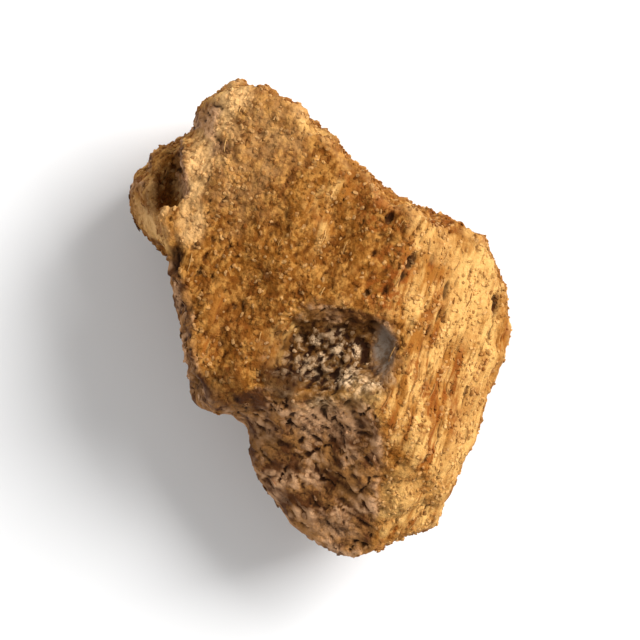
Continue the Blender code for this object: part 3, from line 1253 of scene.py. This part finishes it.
@dataclass
class Scraps(Clinging):
    """Bits that are a plain blank with its corners pushed about, so that they aren't regular."""

    uneven: float
    size: float
    size_name: str

    def blank(self, tree: GeometryWiring) -> Any:
        """Makes the blank, about 1 in radius."""
        raise NotImplementedError

    def bit(self, tree: GeometryWiring) -> Any:
        """Makes one scrap.

        Args:
            tree: The tree that it belongs to.

        Returns:
            The node with its mesh.
        """
        colour = tree.add("ShaderNodeTexNoise", Scale=DENT_RATE, Detail=1.0).outputs["Color"]
        middle = (0.5, 0.5, 0.5)
        push = tree.add("ShaderNodeVectorMath", {"operation": "SUBTRACT"}, s0=colour, s1=middle)
        pushed = tree.scaled(push, self.uneven)
        return tree.add("GeometryNodeSetPosition", Geometry=self.blank(tree), Offset=pushed)

    def scale(self, tree: GeometryWiring, seed: Any) -> Any:
        """Makes each scrap its own size and shape."""
        size = tree.named(self.size_name, self.size * MM)
        return tree.scaled(super().scale(tree, seed), size)


@dataclass
class Granules(Scraps):
    """The crumbled grains of the cut faces and of the scar, sunk halfway into them."""

    density: float = 60.0
    seed: int = 3
    piece: str = "crumbled_granules"
    mark: Mark = Mark.CRUMBLE
    scales: Ends = ((0.40, 0.35, 0.30), (1.10, 0.80, 0.45))
    turns: Ends = ((-0.5, -0.5, 0.0), (0.5, 0.5, math.tau))
    uneven: float = 0.9
    size: float = 0.082
    size_name: str = "Granule Size"

    def blank(self, tree: GeometryWiring) -> Any:
        """Makes a ball of few faces."""
        return tree.add("GeometryNodeMeshIcoSphere", Radius=1.0, Subdivisions=1)


@dataclass
class BarkFlakes(Scraps):
    """Thin flakes of dry cork that peel from the bark."""

    density: float = 7.0
    seed: int = 9
    piece: str = "bark_flakes"
    mark: Mark = Mark.FLAKE
    scales: Ends = ((0.35, 0.25, 0.6), (1.00, 0.70, 1.0))
    turns: Ends = ((-0.28, -0.28, 0.0), (0.28, 0.28, math.tau))
    uneven: float = 1.1
    size: float = 0.13
    size_name: str = "Flake Size"
    sides: int = 7
    thickness: float = 0.16

    def blank(self, tree: GeometryWiring) -> Any:
        """Makes a low disc of few sides."""
        sizes = {"Vertices": self.sides, "Radius": 1.0, "Depth": self.thickness}
        return tree.add("GeometryNodeMeshCylinder", **sizes)


@dataclass
class TornFibres(Clinging):
    """Short ends of fibre, torn up along the grain."""

    density: float = 1.2
    seed: int = 5
    piece: str = "torn_fibres"
    mark: Mark = Mark.FRAY
    scales: Ends = ((0.35, 0.6, 0.6), (1.0, 1.0, 1.0))
    turns: Ends = ((-0.5, -0.20, -0.24), (0.5, 0.10, 0.24))
    grain: Grain = Grain(70.0, 1.0, 1.0)
    length: float = 0.50
    thickness: float = 0.016
    tip: float = 0.12
    bow: float = 0.12
    sides: int = 5
    stations: int = 5

    def bit(self, tree: GeometryWiring) -> Any:
        """Makes one fibre: a short bowed strand, thick in the middle and thin at its ends.

        Args:
            tree: The tree that it belongs to.

        Returns:
            The node with its mesh.
        """
        length = tree.named("Fibre Length", self.length * MM)
        thick = tree.named("Fibre Thickness", self.thickness * MM)
        start, end = (
            tree.add("ShaderNodeCombineXYZ", X=tree.product(length, half)) for half in (-0.5, 0.5)
        )
        line = tree.add("GeometryNodeCurvePrimitiveLine", Start=start, End=end)
        parts = tree.add("GeometryNodeResampleCurve", Curve=line, Count=self.stations)
        along = tree.add("GeometryNodeSplineParameter")
        wave = tree.maths("SINE", tree.product(along, math.pi))
        lift = tree.add("ShaderNodeCombineXYZ", Z=tree.product(wave, length, self.bow))
        bowed = tree.add("GeometryNodeSetPosition", Geometry=parts, Offset=lift)
        girth = tree.add("ShaderNodeMapRange", Value=wave, To_Min=self.tip, To_Max=1.0)
        tapered = tree.add("GeometryNodeSetCurveRadius", Curve=bowed, Radius=girth)
        ring = tree.add("GeometryNodeCurvePrimitiveCircle", Resolution=self.sides, Radius=thick)
        inputs = {"Curve": tapered, "Profile_Curve": ring, "Fill_Caps": True}
        return tree.add("GeometryNodeCurveToMesh", **inputs)

    def laid(self, tree: GeometryWiring, points: Any) -> Any:
        """Lays each fibre along the grain, on the face that it grew from.

        Args:
            tree: The tree that it belongs to.
            points: The node that scatters the points.

        Returns:
            The node with the rotations.
        """
        align = "FunctionNodeAlignRotationToVector"
        along = tree.named("Grain", tuple(self.grain.direction))
        ahead = tree.add(align, {"axis": "X"}, Vector=along)
        settings = {"axis": "Z", "pivot_axis": "X"}
        return tree.add(align, settings, Rotation=ahead, Vector=points.outputs["Normal"])


@dataclass(frozen=True)
class SoftLight:
    """One soft square light: where it hangs, how large it is and how strong."""

    name: str
    toward: Triple
    away: float
    side: float
    watts: float

    def hang(self) -> None:
        """Hangs the light, facing the chip."""
        lamp = bpy.data.lights.new(self.name, "AREA")
        lamp.shape = "SQUARE"
        lamp.size = self.side * MM
        lamp.energy = self.watts
        holder = linked(self.name, lamp)
        direction = Vector(self.toward).normalized()
        holder.location = direction * self.away * MM
        holder.rotation_euler = direction.to_track_quat("Z", "Y").to_euler()


@dataclass
class Studio:
    """The plain pale floor, the soft light and the camera that looks straight down."""

    floor_half: float = 300.0
    floor_white: Colour = (0.86, 0.86, 0.86)
    floor_roughness: float = 0.9
    lights: tuple[SoftLight, ...] = (
        SoftLight("key", (0.68, 0.38, 0.72), 220.0, 130.0, 0.72),
        SoftLight("fill", (-0.8, -0.3, 1.0), 260.0, 200.0, 0.08),
    )
    sky: float = 0.48
    view_width: float = 15.6
    lens: float = 300.0
    sensor: float = 36.0
    clip: Span = (1.0, 10000.0)

    def floor(self) -> None:
        """Lays the floor at the chip's underside."""
        bpy.ops.mesh.primitive_plane_add(size=2.0 * self.floor_half * MM)
        floor = bpy.context.object
        floor.name = "floor"
        made = Finish("floor_white", self.floor_roughness)
        made.shader.inputs["Base Color"].default_value = (*self.floor_white, 1.0)
        floor.data.materials.append(made.material)

    def world(self) -> None:
        """Fills the shadows with white light from all round."""
        world = bpy.data.worlds.new("studio")
        world.use_nodes = True
        back = world.node_tree.nodes["Background"]
        back.inputs["Color"].default_value = (1.0, 1.0, 1.0, 1.0)
        back.inputs["Strength"].default_value = self.sky
        bpy.context.scene.world = world

    def camera(self, height: float) -> None:
        """Hangs the camera over the chip, looking straight down, with +Y up in the picture.

        Args:
            height: The chip's height, in millimetres, whose middle fills the view's width.
        """
        lens = bpy.data.cameras.new("camera")
        lens.lens = self.lens
        lens.sensor_width = self.sensor
        lens.clip_start, lens.clip_end = (reach * MM for reach in self.clip)
        holder = linked("camera", lens)
        away = self.view_width * self.lens / self.sensor + height / 2.0
        holder.location = (0.0, 0.0, away * MM)
        bpy.context.scene.camera = holder

    def build(self, height: float) -> None:
        """Sets up the whole studio.

        Args:
            height: The chip's height, in millimetres.
        """
        self.floor()
        for light in self.lights:
            light.hang()
        self.world()
        self.camera(height)
        settings = bpy.context.scene.view_settings
        settings.view_transform = "Standard"
        settings.look = "None"


def ride_on_root(pieces: Iterable[bpy.types.Object]) -> None:
    """Makes pieces move with the chip and take its slot, and reports each.

    Args:
        pieces: The finished pieces.
    """
    for piece in pieces:
        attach(piece, BODY)
        piece.data.calc_loop_triangles()
        LOG.info("%s: %d triangles", piece.name, len(piece.data.loop_triangles))


def main() -> None:
    """Builds the chip and its studio."""
    logging.basicConfig(level=logging.INFO, format="%(name)s: %(message)s")
    low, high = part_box(NODE)
    Studio().build((high.z - low.z) / MM)

    shape = ChipBody()
    tissue = RootFinish(shape.fibres, shape.granules).material
    body = shape.build(tissue)
    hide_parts(NODE)
    granules = Granules().build(body, tissue)
    flakes = BarkFlakes().build(body, tissue)
    fibres = TornFibres(grain=shape.fibres).build(body, FibreFinish().material)
    ride_on_root((body, granules, flakes, fibres))


if __name__ == "__main__":
    main()
